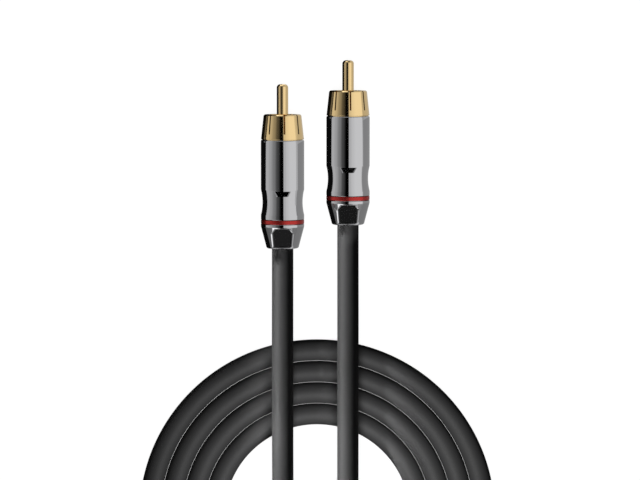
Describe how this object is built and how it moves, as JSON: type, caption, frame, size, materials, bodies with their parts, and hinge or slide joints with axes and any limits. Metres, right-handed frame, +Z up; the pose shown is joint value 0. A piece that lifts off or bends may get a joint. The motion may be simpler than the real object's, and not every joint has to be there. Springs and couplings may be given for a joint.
{
  "type": "rca audio cable",
  "caption": "Coiled round audio cable with a screw-together phono plug at each end, each with a pin inside a slit ground collar",
  "frame": {"origin": "middle of the two plugs' box, on the table they lie on", "axes": "+Z up; +Y along both plugs towards the tips of their pins; +X from the left plug to the right plug"},
  "size_m": [0.0992, 0.1764, 0.0122],
  "materials": {
    "gold_plate": "polished gold plating on brass",
    "gunmetal_plate": "polished dark nickel plating",
    "red_anodised": "red anodised, satin",
    "cable_jacket": "matt flexible PVC with a fine grain",
    "white_insulator": "moulded",
    "collet_plastic": "moulded",
    "sleeve_film": "thin film",
    "bare_copper": "bright copper",
    "tinned_metal": "tinned"
  },
  "bodies": {
    "root": {"left_center_pin": "gold_plate", "left_pin_insulator": "white_insulator", "left_ground_collar": "gold_plate", "left_barrel_shell": "gunmetal_plate", "left_colour_ring": "red_anodised", "left_tail_nut": "gunmetal_plate", "left_cable_collet": "collet_plastic", "left_insulating_sleeve": "sleeve_film", "left_signal_conductor": "bare_copper", "left_conductor_dielectric": "white_insulator", "left_shield_braid": "tinned_metal", "left_signal_solder": "tinned_metal", "left_ground_solder": "tinned_metal", "right_center_pin": "gold_plate", "right_pin_insulator": "white_insulator", "right_ground_collar": "gold_plate", "right_barrel_shell": "gunmetal_plate", "right_colour_ring": "red_anodised", "right_tail_nut": "gunmetal_plate", "right_cable_collet": "collet_plastic", "right_insulating_sleeve": "sleeve_film", "right_signal_conductor": "bare_copper", "right_conductor_dielectric": "white_insulator", "right_shield_braid": "tinned_metal", "right_signal_solder": "tinned_metal", "right_ground_solder": "tinned_metal", "cable_lead_left": "cable_jacket", "cable_lead_right": "cable_jacket", "cable_coil": "cable_jacket"}
  },
  "joints": []
}
